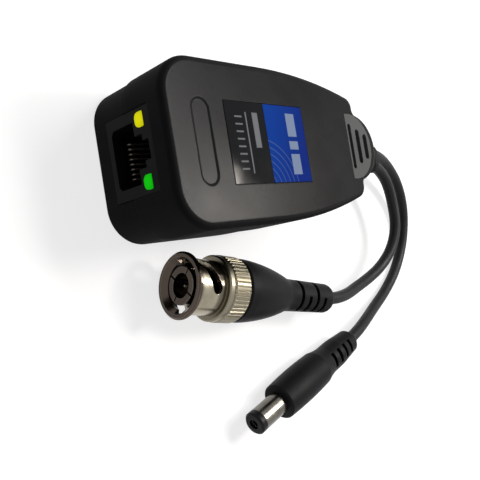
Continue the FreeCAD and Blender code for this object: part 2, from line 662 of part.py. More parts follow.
def make_jack_contacts():
    """Each contact: a pin up through the board, a run forward, a hairpin and a blade rising to the rear."""
    rise = math.radians(CONTACT_RISE_DEG)
    contacts = []
    for index, x in enumerate(contact_positions()):
        row = contact_row(index)
        low = contact_run_height()
        hairpin_y = SOCKET_Y + CONTACT_SETBACK + CONTACT_HAIRPIN
        centre = Vector(x, hairpin_y, low + CONTACT_HAIRPIN)
        run_end = Vector(x, hairpin_y, low)
        far = centre + Vector(0, -CONTACT_HAIRPIN, 0)
        blade_start = centre + Vector(0, -math.sin(rise), math.cos(rise)) * CONTACT_HAIRPIN
        blade_end = blade_start + Vector(0, math.cos(rise), math.sin(rise)) * CONTACT_BLADE
        bend_low = Vector(x, row, low - CONTACT_BEND)
        bend_end = Vector(x, row - CONTACT_BEND, low)
        diagonal = CONTACT_BEND * math.sqrt(0.5)
        bend_middle = Vector(x, row - CONTACT_BEND + diagonal, low - CONTACT_BEND + diagonal)
        path = Part.Wire([
            edge(Vector(x, row, BOARD_BOTTOM - PIN_BELOW_BOARD), bend_low),
            Part.Arc(bend_low, bend_middle, bend_end).toShape(),
            edge(bend_end, run_end),
            Part.Arc(run_end, far, blade_start).toShape(),
            edge(blade_start, blade_end),
        ])
        start = Vector(x, row, BOARD_BOTTOM - PIN_BELOW_BOARD)
        profile = Part.Wire(Part.makeCircle(CONTACT_WIRE_RADIUS, start, Z_AXIS))
        contacts.append(path.makePipeShell([profile], True, False))
    return Part.makeCompound(contacts)


def make_light_window(side):
    return window_bar(side, 0, SOCKET_Y - WINDOW_PROUD, SOCKET_Y + WINDOW_LENGTH)


def light_lead_positions():
    return [side * WINDOW_CENTRE_X + offset for side in (-1, 1) for offset in (-LIGHT_LEAD_SPREAD, LIGHT_LEAD_SPREAD)]


def light_lead_row():
    return SOCKET_Y + SOCKET_DEPTH + LIGHT_LEAD_BEHIND


def make_light_leads():
    leads = []
    z = BOARD_TOP + WINDOW_CENTRE_UP
    for x in light_lead_positions():
        points = [
            Vector(x, SOCKET_Y + WINDOW_LENGTH, z),
            Vector(x, light_lead_row(), z),
            Vector(x, light_lead_row(), BOARD_BOTTOM - PIN_BELOW_BOARD),
        ]
        leads.append(wire_solid(points, LIGHT_LEAD_RADIUS, [LIGHT_LEAD_BEND])[0])
    return Part.makeCompound(leads)


def make_circuit_board():
    wide = BOARD_HALF_WIDTH
    narrow = BOARD_REAR_HALF_WIDTH
    front = FRONT_Y + BOARD_FROM_FRONT
    wide_end = at_share(BOARD_WIDE_SHARE)
    narrow_start = at_share(BOARD_NARROW_SHARE)
    end = at_share(BOARD_END_SHARE)
    corners = [
        (-wide, front), (wide, front), (wide, wide_end), (narrow, narrow_start),
        (narrow, end), (-narrow, end), (-narrow, narrow_start), (-wide, wide_end),
    ]
    points = [Vector(x, y, BOARD_BOTTOM) for x, y in corners]
    board = Part.Face(Part.makePolygon(points + points[:1])).extrude(Vector(0, 0, BOARD_THICKNESS))
    holes = [(x, contact_row(index), CONTACT_WIRE_RADIUS) for index, x in enumerate(contact_positions())]
    holes += [(x, light_lead_row(), LIGHT_LEAD_RADIUS) for x in light_lead_positions()]
    return board.cut([Part.makeCylinder(radius + FIT_GAP, BOARD_THICKNESS + 2 * EXTRA, Vector(x, y, BOARD_BOTTOM - EXTRA))
                      for x, y, radius in holes])


def make_toroid_core():
    base = BOARD_TOP + TURN_WIRE + 2 * TURN_GAP
    centre = Vector(0, at_share(CORE_SHARE), base)
    outer = Part.makeCylinder(CORE_OUTER_RADIUS, CORE_HEIGHT, centre)
    return outer.cut(Part.makeCylinder(CORE_INNER_RADIUS, CORE_HEIGHT, centre))


def make_toroid_winding():
    """Square-cornered turns of wire around the core's section, side by side round most of the ring."""
    low = BOARD_TOP + TURN_GAP
    high = low + 2 * TURN_WIRE + 2 * TURN_GAP + CORE_HEIGHT
    inner = CORE_INNER_RADIUS - TURN_GAP
    outer = CORE_OUTER_RADIUS + TURN_GAP
    half = TURN_WIRE / 2
    frame = block(inner - TURN_WIRE, outer + TURN_WIRE, -half, half, low, high)
    frame = frame.cut(block(inner, outer, -EXTRA, EXTRA, low + TURN_WIRE, high - TURN_WIRE))
    turns = []
    for index in range(WIRE_TURNS):
        turn = frame.copy()
        turn.rotate(ORIGIN, Z_AXIS, (index + 0.5) * 360 / WIRE_TURNS)
        turn.translate(Vector(0, at_share(CORE_SHARE), 0))
        turns.append(turn)
    return Part.makeCompound(turns)


def make_on_board(size, spots):
    """Small bricks that stand on the board."""
    bricks = []
    for x, share in spots:
        y = at_share(share)
        bricks.append(block(x - size[0] / 2, x + size[0] / 2, y - size[1] / 2, y + size[1] / 2,
                            BOARD_TOP, BOARD_TOP + size[2]))
    return Part.makeCompound(bricks)


def make_filter_capacitor():
    x, share = CAPACITOR_SPOT
    can = Part.makeCylinder(CAPACITOR_RADIUS, CAPACITOR_HEIGHT, Vector(x, at_share(share), BOARD_TOP))
    top = [e for e in can.Edges if e.BoundBox.ZMin > BOARD_TOP + CAPACITOR_HEIGHT / 2 and e.Length > CAPACITOR_RADIUS
           and e.BoundBox.ZLength < 1e-6]
    return can.makeFillet(CAPACITOR_RADIUS / 8, top)


def make_resettable_fuse():
    x, share = FUSE_SPOT
    y = at_share(share)
    centre = Vector(x, y - FUSE_THICKNESS / 2, BOARD_TOP + FUSE_STANDOFF + FUSE_RADIUS)
    disc = Part.makeCylinder(FUSE_RADIUS, FUSE_THICKNESS, centre, Y_AXIS)
    half = FUSE_LEG_SPREAD / 2
    legs = [Part.makeCylinder(FUSE_LEG, FUSE_STANDOFF + FUSE_RADIUS, Vector(x + side * half, y, BOARD_TOP))
            for side in (-1, 1)]
    return disc.fuse(legs).removeSplitter()


def flange_inner_y():
    return NOSE_TIP_Y - WALL - GROMMET_FLANGE_THICKNESS


def make_lead_cores():
    """Four cores from the grommet's inner face down to the board's rear pads."""
    cores = []
    for lead_x in (-LEAD_SPREAD, LEAD_SPREAD):
        for offset in (-CORE_WIRE_SPREAD, CORE_WIRE_SPREAD):
            x = lead_x + offset
            pad_y = at_share(CORE_WIRE_PAD_SHARE)
            points = [Vector(x, flange_inner_y(), SEAM_HEIGHT), Vector(x, pad_y, SEAM_HEIGHT), Vector(x, pad_y, BOARD_TOP)]
            cores.append(wire_solid(points, CORE_WIRE_RADIUS, [CORE_WIRE_BEND])[0])
    return Part.makeCompound(cores)


def nose_cylinder(radius):
    return Part.makeCylinder(radius, HOUSING_HEIGHT, Vector(0, NOSE_CENTRE_Y, 0))


def make_cord_grommet():
    """A moulded bush: a flange inside the wall, a neck through it and a ringed stub outside."""
    neck = upright_stadium(GROMMET_NECK_WIDTH - FIT_GAP, GROMMET_NECK_HEIGHT - FIT_GAP, flange_inner_y(), GROMMET_FACE_Y)
    width = GROMMET_NECK_WIDTH + 2 * GROMMET_FLANGE_GROWTH
    height = GROMMET_NECK_HEIGHT + 2 * GROMMET_FLANGE_GROWTH
    flange = upright_stadium(width, height, flange_inner_y(), NOSE_TIP_Y)
    flange = flange.common(nose_cylinder(NOSE_RADIUS - WALL - FIT_GAP))
    parts = [neck, flange]
    for step, share in enumerate(GROMMET_RING_SPOTS):
        shrink = 2 * GROMMET_TAPER * step
        end = NOSE_TIP_Y + GROMMET_STUB * share
        begin = NOSE_CENTRE_Y if step == 0 else end - GROMMET_RING
        collar = upright_stadium(width - shrink, height - shrink, begin, end)
        parts.append(collar.cut(nose_cylinder(NOSE_RADIUS + FIT_GAP)))
    bush = parts[0].fuse(parts[1:]).removeSplitter()
    sockets = [Part.makeCylinder(LEAD_RADIUS + LEAD_SOCKET_GAP, LEAD_SOCKET + EXTRA,
                                 Vector(x, GROMMET_FACE_Y - LEAD_SOCKET, SEAM_HEIGHT), Y_AXIS)
               for x in (-LEAD_SPREAD, LEAD_SPREAD)]
    return bush.cut(sockets)


def lead_route(x, points, tip, angle, boot_end):
    """From the grommet's socket through the chosen points, then straight into the boot's socket."""
    end = on_axis(tip, angle, boot_end - LEAD_SOCKET)
    before_end = on_axis(tip, angle, boot_end - LEAD_SOCKET + LEAD_STRAIGHT_AT_PLUG)
    start = Vector(x, GROMMET_FACE_Y - LEAD_SOCKET, SEAM_HEIGHT)
    after_start = start + Y_AXIS * LEAD_STRAIGHT_AT_GROMMET
    return [start, after_start] + [Vector(*point) for point in points] + [before_end, end]


def make_lead(name, route):
    bends = []
    for before, corner, after in zip(route, route[1:], route[2:]):
        turn = (corner - before).getAngle(after - corner)
        shorter = min((corner - before).Length, (after - corner).Length)
        bends.append(ARC_SHARE * shorter / math.tan(turn / 2))
    solid, length = wire_solid(route, LEAD_RADIUS, bends)
    section = math.pi * LEAD_RADIUS ** 2
    print(name, "radii", [round(bend, 1) for bend in bends])
    print(name, "runs", [round((b - a).Length, 1) for a, b in zip(route, route[1:])])
    print(name, "length", round(length, 2), "volume share", round(solid.Volume / (section * length), 4))
    print(name, "lowest", round(solid.BoundBox.ZMin, 3))
    print(name, "points in metres", [tuple(round(v / 1000, 5) for v in point) for point in route])
    return solid


def nut_slot_cutter():
    """One bayonet slot: a helical cut through the neck, from its front to its rear stop."""
    cutters = []
    radius = (NUT_BORE_RADIUS + NECK_RADIUS) / 2
    stations = []
    for step in range(SLOT_STEPS + 1):
        share = step / SLOT_STEPS
        stations.append((SLOT_FRONT_AT + (SLOT_REAR_AT - SLOT_FRONT_AT) * share, SLOT_SWEEP_DEG * share))
    low = NUT_BORE_RADIUS - EXTRA
    for (s0, a0), (s1, a1) in zip(stations, stations[1:]):
        across = radius * math.radians(a1 - a0)
        length = math.hypot(s1 - s0, across)
        slab = Part.makeBox(length, SLOT_WIDTH, 2 * EXTRA + NECK_RADIUS - NUT_BORE_RADIUS,
                            Vector(0, -SLOT_WIDTH / 2, low))
        slab = slab.fuse(Part.makeCylinder(SLOT_WIDTH / 2, 2 * EXTRA + NECK_RADIUS - NUT_BORE_RADIUS,
                                           Vector(length, 0, low)))
        slab.rotate(ORIGIN, Z_AXIS, -math.degrees(math.atan2(across, s1 - s0)))
        slab.translate(Vector(s0, 0, 0))
        cutters.append(spun(slab, a0))
    return cutters[0].fuse(cutters[1:])


def make_coupling_nut():
    rim_back = RIM_LENGTH
    edges_points = [
        (RIM_MOUTH_DEPTH, NUT_BORE_RADIUS), (0.0, RIM_MOUTH_RADIUS), (0.0, RIM_RADIUS - RIM_ROUNDING),
        (RIM_ROUNDING, RIM_RADIUS), (rim_back - RIM_ROUNDING / 2, RIM_RADIUS),
        (rim_back + RIM_ROUNDING, NECK_RADIUS + RIM_ROUNDING), (rim_back + 2 * RIM_ROUNDING, NECK_RADIUS),
        (NUT_SHOULDER_AT, NECK_RADIUS), (NUT_SHOULDER_AT, NUT_COLLAR_RADIUS - KNURL_CHAMFER),
        (NUT_SHOULDER_AT + KNURL_CHAMFER, NUT_COLLAR_RADIUS), (NUT_KNURL_AT - KNURL_CHAMFER, NUT_COLLAR_RADIUS),
        (NUT_KNURL_AT - KNURL_CHAMFER, NUT_COLLAR_RADIUS - KNURL_DEPTH),
        (NUT_KNURL_AT, NUT_COLLAR_RADIUS - KNURL_DEPTH), (NUT_KNURL_AT, NUT_RADIUS - KNURL_CHAMFER),
        (NUT_KNURL_AT + KNURL_CHAMFER, NUT_RADIUS), (NUT_LENGTH - KNURL_CHAMFER, NUT_RADIUS),
        (NUT_LENGTH, NUT_RADIUS - KNURL_CHAMFER), (NUT_LENGTH, LIP_BORE_RADIUS), (NUT_LIP_AT, LIP_BORE_RADIUS),
        (NUT_LIP_AT, NUT_COUNTERBORE_RADIUS), (NUT_COUNTERBORE_AT, NUT_COUNTERBORE_RADIUS),
        (NUT_COUNTERBORE_AT, NUT_BORE_RADIUS),
    ]
    nut = turned(edges_points)
    slot = nut_slot_cutter()
    entry = block(-EXTRA, SLOT_FRONT_AT, -SLOT_WIDTH / 2, SLOT_WIDTH / 2, 0, NUT_BORE_RADIUS + SLOT_ENTRY_DEPTH)
    cuts = []
    for half_turn in (0, 180):
        start = SLOT_START_DEG + half_turn
        cuts.append(spun(slot, start))
        cuts.append(spun(entry, start))
    groove_wire = Part.makePolygon([
        Vector(NUT_KNURL_AT, 0, NUT_RADIUS - KNURL_DEPTH), Vector(NUT_KNURL_AT, -KNURL_DEPTH, NUT_RADIUS + KNURL_DEPTH / 4),
        Vector(NUT_KNURL_AT, KNURL_DEPTH, NUT_RADIUS + KNURL_DEPTH / 4), Vector(NUT_KNURL_AT, 0, NUT_RADIUS - KNURL_DEPTH),
    ])
    groove = Part.Face(groove_wire).extrude(Vector(NUT_LENGTH + EXTRA - NUT_KNURL_AT, 0, 0))
    cuts += [spun(groove, index * 360 / KNURL_TEETH) for index in range(KNURL_TEETH)]
    return nut.cut(cuts)


def make_plug_body():
    body = turned([
        (FERRULE_AT, FERRULE_BORE_RADIUS), (FERRULE_AT, FERRULE_RADIUS - FIT_GAP),
        (FERRULE_AT + FIT_GAP, FERRULE_RADIUS), (COLLAR_AT, FERRULE_RADIUS), (COLLAR_AT, COLLAR_RADIUS),
        (COLLAR_END, COLLAR_RADIUS), (COLLAR_END, BODY_NECK_RADIUS), (BODY_NECK_END, BODY_NECK_RADIUS),
        (BODY_NECK_END, STEM_RADIUS), (STEM_END, STEM_RADIUS), (STEM_END, STEM_BORE_RADIUS),
        (DIELECTRIC_END, STEM_BORE_RADIUS), (DIELECTRIC_END, FERRULE_BORE_RADIUS),
    ])
    slits = []
    for index in range(FERRULE_SLITS):
        slit = block(FERRULE_AT - EXTRA, FERRULE_AT + FERRULE_SLIT_LENGTH, -FERRULE_SLIT_WIDTH / 2,
                     FERRULE_SLIT_WIDTH / 2, 0, FERRULE_RADIUS + EXTRA)
        slits.append(spun(slit, FERRULE_SLIT_TURN + index * 360 / FERRULE_SLITS))
    return body.cut(slits)


def make_plug_dielectric():
    return ring(DIELECTRIC_AT, DIELECTRIC_END - FIT_GAP, PIN_RADIUS + FIT_GAP / 4, FERRULE_BORE_RADIUS - FIT_GAP / 4)


def make_plug_pin():
    return turned([(PIN_AT, 0), (PIN_AT, PIN_RADIUS / 3), (PIN_AT + PIN_POINT, PIN_RADIUS), (PIN_END, PIN_RADIUS), (PIN_END, 0)])


def make_wave_washer():
    """A thin ring bent into waves, lying on the body's collar."""
    inner = BODY_NECK_RADIUS + RUNNING_GAP
    outer = COLLAR_RADIUS - RUNNING_GAP
    segments = WAVE_COUNT * 8
    sectors = []
    for index in range(segments):
        turn = 360 * index / segments
        rise = WAVE_HEIGHT * (1 - math.cos(math.radians(turn * WAVE_COUNT))) / 2
        start = COLLAR_END + FIT_GAP / 2 + rise
        section = Part.Face(Part.makePolygon([Vector(start, 0, inner), Vector(start + WAVE_THICKNESS, 0, inner),
                                              Vector(start + WAVE_THICKNESS, 0, outer), Vector(start, 0, outer),
                                              Vector(start, 0, inner)]))
        sectors.append(spun(section, turn).revolve(ORIGIN, X_AXIS, 360 / segments))
    return sectors[0].fuse(sectors[1:]).removeSplitter()


def make_thrust_washer():
    back = NUT_LIP_AT - FIT_GAP / 2
    return ring(back - THRUST_WASHER_THICKNESS, back, LIP_BORE_RADIUS, NUT_COUNTERBORE_RADIUS - RUNNING_GAP)


def make_plug_gasket():
    return ring(GASKET_AT, GASKET_AT + GASKET_LENGTH, FERRULE_RADIUS, NUT_COUNTERBORE_RADIUS - 2 * RUNNING_GAP)


def make_crimp_sleeve():
    return ring(SLEEVE_START, SLEEVE_END, STEM_RADIUS + FIT_GAP / 2, STEM_RADIUS + FIT_GAP / 2 + SLEEVE_WALL)


def boot_slots(slots, floor, span):
    """Flexing slots in a boot's tail, each a groove over part of the way round."""
    cuts = []
    for station, turn in slots:
        low = station - BOOT_SLOT_WIDTH / 2
        high = station + BOOT_SLOT_WIDTH / 2
        section = Part.Face(Part.makePolygon([Vector(low, 0, floor), Vector(high, 0, floor), Vector(high, 0, 3 * floor),
                                              Vector(low, 0, 3 * floor), Vector(low, 0, floor)]))
        cuts.append(spun(section, turn - span / 2).revolve(ORIGIN, X_AXIS, span))
    return cuts


def make_video_boot():
    def at(s, r):
        return Vector(s, 0, r)
    small = VIDEO_BOOT_EDGE
    barrel_end = at(VIDEO_BOOT_BARREL_END, VIDEO_BOOT_RADIUS)
    shoulder = at(*VIDEO_BOOT_SHOULDER)
    neck = at(VIDEO_BOOT_NECK_AT, VIDEO_BOOT_NECK_RADIUS)
    tail = at(VIDEO_BOOT_TAIL_AT, VIDEO_BOOT_TAIL_RADIUS)
    tip = at(VIDEO_BOOT_END, VIDEO_BOOT_TIP_RADIUS)
    edges = [
        edge(at(VIDEO_BOOT_AT, 0), at(VIDEO_BOOT_AT, VIDEO_BOOT_RADIUS - small)),
        edge(at(VIDEO_BOOT_AT, VIDEO_BOOT_RADIUS - small), at(VIDEO_BOOT_AT + small, VIDEO_BOOT_RADIUS)),
        edge(at(VIDEO_BOOT_AT + small, VIDEO_BOOT_RADIUS), barrel_end),
        Part.Arc(barrel_end, at(*VIDEO_BOOT_SWELL), shoulder).toShape(),
        Part.Arc(shoulder, at(*VIDEO_BOOT_BLEND), neck).toShape(),
        edge(neck, tail),
        Part.Arc(tail, at(*VIDEO_BOOT_TIP_ROUND), tip).toShape(),
        edge(tip, at(VIDEO_BOOT_END, 0)),
        edge(at(VIDEO_BOOT_END, 0), at(VIDEO_BOOT_AT, 0)),
    ]
    boot = turned_edges(edges)
    cuts = boot_slots(VIDEO_BOOT_SLOTS, VIDEO_BOOT_TAIL_RADIUS - VIDEO_BOOT_SLOT_DEPTH, VIDEO_BOOT_SLOT_SPAN)
    cuts.append(rod(VIDEO_BOOT_AT - EXTRA, BODY_NECK_END + FIT_GAP, BODY_NECK_RADIUS + FIT_GAP / 2))
    sleeve_radius = STEM_RADIUS + SLEEVE_WALL + FIT_GAP
    cuts.append(rod(BODY_NECK_END, SLEEVE_END + FIT_GAP, sleeve_radius))
    cuts.append(rod(VIDEO_BOOT_END - LEAD_SOCKET, VIDEO_BOOT_END + EXTRA, LEAD_RADIUS + LEAD_SOCKET_GAP))
    return boot.cut(cuts)


def make_barrel_sleeve():
    inner = BARREL_RADIUS - BARREL_WALL
    inner_hidden = BARREL_HIDDEN_RADIUS - BARREL_WALL
    back = BARREL_LENGTH + BARREL_HIDDEN
    return turned([
        (TIP_RING_LENGTH, inner), (TIP_RING_LENGTH, BARREL_RADIUS), (BARREL_LENGTH, BARREL_RADIUS),
        (BARREL_LENGTH, BARREL_HIDDEN_RADIUS), (back, BARREL_HIDDEN_RADIUS), (back, inner_hidden),
        (BARREL_LENGTH, inner_hidden), (BARREL_LENGTH - BARREL_WALL, inner),
    ])


def make_barrel_insulator():
    """The black ring at the tip and the tube behind it that keeps the two contacts apart."""
    bore = CENTRE_BORE_RADIUS + CENTRE_WALL + FIT_GAP / 4
    mouth = CENTRE_BORE_RADIUS + TIP_BORE_STEP
    tube = BARREL_HIDDEN_RADIUS - BARREL_WALL - FIT_GAP / 4
    back = CENTRE_SETBACK + CENTRE_LENGTH
    return turned([
        (0, mouth), (0, BARREL_RADIUS - TIP_RING_ROUNDING), (TIP_RING_ROUNDING, BARREL_RADIUS),
        (TIP_RING_LENGTH, BARREL_RADIUS), (TIP_RING_LENGTH, tube), (back, tube), (back, bore),
        (CENTRE_SETBACK, bore), (CENTRE_SETBACK, mouth),
    ])


def make_barrel_centre_contact():
    return ring(CENTRE_SETBACK, CENTRE_SETBACK + CENTRE_LENGTH, CENTRE_BORE_RADIUS, CENTRE_BORE_RADIUS + CENTRE_WALL)


def make_power_boot():
    def at(s, r):
        return Vector(s, 0, r)
    front = BARREL_LENGTH
    small = POWER_BOOT_FRONT_ROUNDING
    neck_mid_s = (POWER_BOOT_SHOULDER_AT + POWER_BOOT_NECK_AT) / 2
    neck_mid_r = (POWER_BOOT_RADIUS + POWER_BOOT_NECK_RADIUS) / 2 - small / 2
    edges = [
        edge(at(front, 0), at(front, POWER_BOOT_FRONT_RADIUS - small)),
        edge(at(front, POWER_BOOT_FRONT_RADIUS - small), at(front + small, POWER_BOOT_FRONT_RADIUS)),
        Part.Arc(at(front + small, POWER_BOOT_FRONT_RADIUS), at(POWER_BOOT_WIDEST_AT, POWER_BOOT_RADIUS),
                 at(POWER_BOOT_SHOULDER_AT, POWER_BOOT_RADIUS - small / 2)).toShape(),
        Part.Arc(at(POWER_BOOT_SHOULDER_AT, POWER_BOOT_RADIUS - small / 2), at(neck_mid_s, neck_mid_r),
                 at(POWER_BOOT_NECK_AT, POWER_BOOT_NECK_RADIUS)).toShape(),
        edge(at(POWER_BOOT_NECK_AT, POWER_BOOT_NECK_RADIUS), at(POWER_BOOT_TAPER_AT, POWER_BOOT_NECK_RADIUS)),
        edge(at(POWER_BOOT_TAPER_AT, POWER_BOOT_NECK_RADIUS), at(POWER_BOOT_TAIL_AT, POWER_BOOT_TAIL_RADIUS)),
        edge(at(POWER_BOOT_TAIL_AT, POWER_BOOT_TAIL_RADIUS), at(POWER_BOOT_END, POWER_BOOT_TIP_RADIUS)),
        edge(at(POWER_BOOT_END, POWER_BOOT_TIP_RADIUS), at(POWER_BOOT_END, 0)),
        edge(at(POWER_BOOT_END, 0), at(front, 0)),
    ]
    boot = turned_edges(edges)
    stations = [POWER_BOOT_SLOT_FIRST + index * POWER_BOOT_SLOT_PITCH for index in range(POWER_BOOT_SLOT_COUNT)]
    slots = [(station, turn) for station in stations for turn in POWER_BOOT_SLOT_TURNS]
    cuts = boot_slots(slots, POWER_BOOT_TAIL_RADIUS - POWER_BOOT_SLOT_DEPTH, POWER_BOOT_SLOT_SPAN)
    cuts.append(rod(front - EXTRA, BARREL_LENGTH + BARREL_HIDDEN, BARREL_HIDDEN_RADIUS))
    cuts.append(rod(POWER_BOOT_END - LEAD_SOCKET, POWER_BOOT_END + EXTRA, LEAD_RADIUS + LEAD_SOCKET_GAP))
    return boot.cut(cuts)


def build():
    video_route = lead_route(LEAD_SPREAD, VIDEO_LEAD_POINTS, BAYONET_TIP, BAYONET_ANGLE, VIDEO_BOOT_END)
    power_route = lead_route(-LEAD_SPREAD, POWER_LEAD_POINTS, BARREL_TIP, BARREL_ANGLE, POWER_BOOT_END)
    return {
        "base_shell": make_base_shell(),
        "top_cover": make_top_cover(),
        "housing_screws": make_housing_screws(),
        "relief_trim": make_relief_trim(),
        "label": make_label(),
        "label_blue_field": make_label_blue_field(),
        "circuit_board": make_circuit_board(),
        "jack_housing": make_jack_housing(),
        "jack_contact_carrier": make_jack_contact_carrier(),
        "jack_contacts": make_jack_contacts(),
        "window_yellow": make_light_window(-1),
        "window_green": make_light_window(1),
        "light_leads": make_light_leads(),
        "toroid_core": make_toroid_core(),
        "toroid_winding": make_toroid_winding(),
        "surge_arresters": make_on_board(ARRESTER_SIZE, ARRESTER_SPOTS),
        "chip_resistors": make_on_board(RESISTOR_SIZE, RESISTOR_SPOTS),
        "filter_capacitor": make_filter_capacitor(),
        "resettable_fuse": make_resettable_fuse(),
        "lead_cores": make_lead_cores(),
        "cord_grommet": make_cord_grommet(),
        "video_lead": make_lead("video_lead", video_route),
        "power_lead": make_lead("power_lead", power_route),
        "coupling_nut": on_bayonet(make_coupling_nut()),
        "plug_body": on_bayonet(make_plug_body()),
        "plug_dielectric": on_bayonet(make_plug_dielectric()),
        "plug_pin": on_bayonet(make_plug_pin()),
        "plug_gasket": on_bayonet(make_plug_gasket()),
        "wave_washer": on_bayonet(make_wave_washer()),
        "thrust_washer": on_bayonet(make_thrust_washer()),
        "crimp_sleeve": on_bayonet(make_crimp_sleeve()),
        "video_boot": on_bayonet(make_video_boot()),
        "barrel_sleeve": on_barrel(make_barrel_sleeve()),
        "barrel_insulator": on_barrel(make_barrel_insulator()),
        "barrel_centre_contact": on_barrel(make_barrel_centre_contact()),
        "power_boot": on_barrel(make_power_boot()),
    }


os.makedirs("parts", exist_ok=True)
for node, shape in build().items():
    print(node, "solids", len(shape.Solids), "valid", shape.isValid(), "volume", round(shape.Volume, 2))
    shape.exportStep("parts/" + node + ".step")
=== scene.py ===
import math

import bmesh
import bpy
from mathutils import Matrix, Vector


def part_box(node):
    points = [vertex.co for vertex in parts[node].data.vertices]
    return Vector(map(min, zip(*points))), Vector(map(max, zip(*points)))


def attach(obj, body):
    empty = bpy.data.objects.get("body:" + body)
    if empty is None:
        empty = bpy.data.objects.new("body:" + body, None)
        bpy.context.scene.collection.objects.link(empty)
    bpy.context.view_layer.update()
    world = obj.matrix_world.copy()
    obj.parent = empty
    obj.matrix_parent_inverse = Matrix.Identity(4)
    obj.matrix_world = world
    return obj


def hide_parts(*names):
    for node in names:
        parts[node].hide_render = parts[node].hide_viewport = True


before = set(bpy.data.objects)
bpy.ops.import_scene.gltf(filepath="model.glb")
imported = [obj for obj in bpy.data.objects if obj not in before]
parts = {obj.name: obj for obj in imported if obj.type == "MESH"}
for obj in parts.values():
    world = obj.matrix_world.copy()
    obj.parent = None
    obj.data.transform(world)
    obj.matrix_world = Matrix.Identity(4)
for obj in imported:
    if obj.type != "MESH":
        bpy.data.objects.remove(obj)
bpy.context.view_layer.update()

MM = 0.001

# The bottom shell: a tray moulded in black ABS, satin on its flat faces and spark textured on its walls.
# Ribs on its floor carry the board, and hollow posts let the screws through. Handling rubs its edges
# paler.
SHELL_BLACK = (0.0036, 0.0036, 0.0040)
SHELL_ROUGHNESS = 0.27
WALL_ROUGHNESS = 0.80
SHELL_SPECULAR = 0.07
SKIN_GRAIN = 0.25 * MM
SKIN_GRAIN_DEPTH = 0.006 * MM
SKIN_EDGE = 0.25 * MM
SKIN_WEAR = 2.2
HANDLING_BLOTCH = 9 * MM
HANDLED_GLOSS = (0.92, 1.10)
HANDLED_SHADES = (0.86, 1.14)
WALL_GLOSS = (0.95, 1.05)
LEVEL_FACE = (0.86, 0.98)
EDGE_SAMPLES = 6
EDGE_FACING = 0.93
NOISE_LOW = 0.3
NOISE_HIGH = 0.7
PLAIN, SMOOTH, SOFT, EVEN, ROUGH, GRAINY = 0, 1, 2, 3, 4, 5
MIX_SHARE, MIX_FIRST, MIX_SECOND, MIXED = 0, 6, 7, 2


class Recipe:
    """The nodes of a finish or of the room, with the few steps that they share."""

    def __init__(self, owner):
        owner.use_nodes = True
        self.tree = owner.node_tree

    def add(self, kind, inputs=(), **settings):
        made = self.tree.nodes.new(kind)
        for key, value in settings.items():
            setattr(made, key, value)
        for key, value in dict(inputs).items():
            self.feed(made.inputs[key], value)
        return made

    def feed(self, socket, value):
        if isinstance(value, bpy.types.NodeSocket):
            self.tree.links.new(value, socket)
        else:
            socket.default_value = value

    def math(self, operation, first, second=0.0):
        return self.add("ShaderNodeMath", {0: first, 1: second}, operation=operation).outputs[0]

    def larger(self, first, second):
        return self.math("MAXIMUM", first, second)

    def product(self, first, second):
        return self.math("MULTIPLY", first, second)

    def spread(self, value, low, high, to_low=0.0, to_high=1.0):
        made = self.add("ShaderNodeMapRange", {"Value": value, "From Min": low, "From Max": high,
                                               "To Min": to_low, "To Max": to_high})
        return made.outputs["Result"]


class Finish(Recipe):
    """A material of the balun's, which starts as one even colour and gloss."""

    def __init__(self, name, colour, roughness, metallic=0.0, specular=0.5):
        self.material = bpy.data.materials.new(name)
        super().__init__(self.material)
        self.shader = self.tree.nodes["Principled BSDF"]
        self.colour = colour
        self.feed(self.shader.inputs["Base Color"], (*colour, 1))
        self.feed(self.shader.inputs["Roughness"], roughness)
        self.feed(self.shader.inputs["Metallic"], metallic)
        self.feed(self.shader.inputs["Specular IOR Level"], specular)
        self.place = self.add("ShaderNodeTexCoord").outputs["Object"]
        self.soft = None

    def distance(self, across, along):
        return self.math("SQRT", self.math("ADD", self.product(across, across), self.product(along, along)))

    def noise(self, size, detail=EVEN):
        made = self.add("ShaderNodeTexNoise", {"Vector": self.place, "Scale": 1 / size, "Detail": detail})
        return made.outputs[0]

    def between(self, noise, low=0.0, high=1.0):
        """Spreads a noise, which keeps to the middle of its range, over the given range."""
        return self.spread(noise, NOISE_LOW, NOISE_HIGH, low, high)

    def mix(self, share, first, second):
        """Mixes two colours, whose sockets on the mix node can only be told apart by number."""
        inputs = {MIX_SHARE: share, MIX_FIRST: first, MIX_SECOND: second}
        return self.add("ShaderNodeMix", inputs, data_type="RGBA").outputs[MIXED]

    def shades(self, share, dark, pale):
        """Mixes the finish's own colour from a darker to a paler shade of it."""
        return self.mix(share, shade(self.colour, dark), shade(self.colour, pale))

    def paint(self, colour):
        self.feed(self.shader.inputs["Base Color"], colour)

    def gloss(self, roughness):
        self.feed(self.shader.inputs["Roughness"], roughness)

    def offset(self, origin):
        made = self.add("ShaderNodeVectorMath", {0: self.place, 1: tuple(origin)}, operation="SUBTRACT")
        return made.outputs[0]

    def axes(self, place):
        split = self.add("ShaderNodeSeparateXYZ", {0: place})
        return split.outputs[0], split.outputs[1], split.outputs[2]

    def edges(self, radius):
        """Rounds the shading of sharp edges, and returns how near an edge is, from 0 to 1."""
        self.soft = self.add("ShaderNodeBevel", {"Radius": radius}, samples=EDGE_SAMPLES).outputs[0]
        flat = self.add("ShaderNodeNewGeometry").outputs["Normal"]
        facing = self.add("ShaderNodeVectorMath", {0: self.soft, 1: flat}, operation="DOT_PRODUCT")
        return self.spread(facing.outputs["Value"], 1.0, EDGE_FACING)

    def relief(self, height, depth):
        inputs = {"Height": height, "Distance": depth}
        if self.soft is not None:
            inputs["Normal"] = self.soft
        self.feed(self.shader.inputs["Normal"], self.add("ShaderNodeBump", inputs).outputs[0])

    def dress(self, *names):
        for name in names:
            parts[name].data.materials.clear()
            parts[name].data.materials.append(self.material)


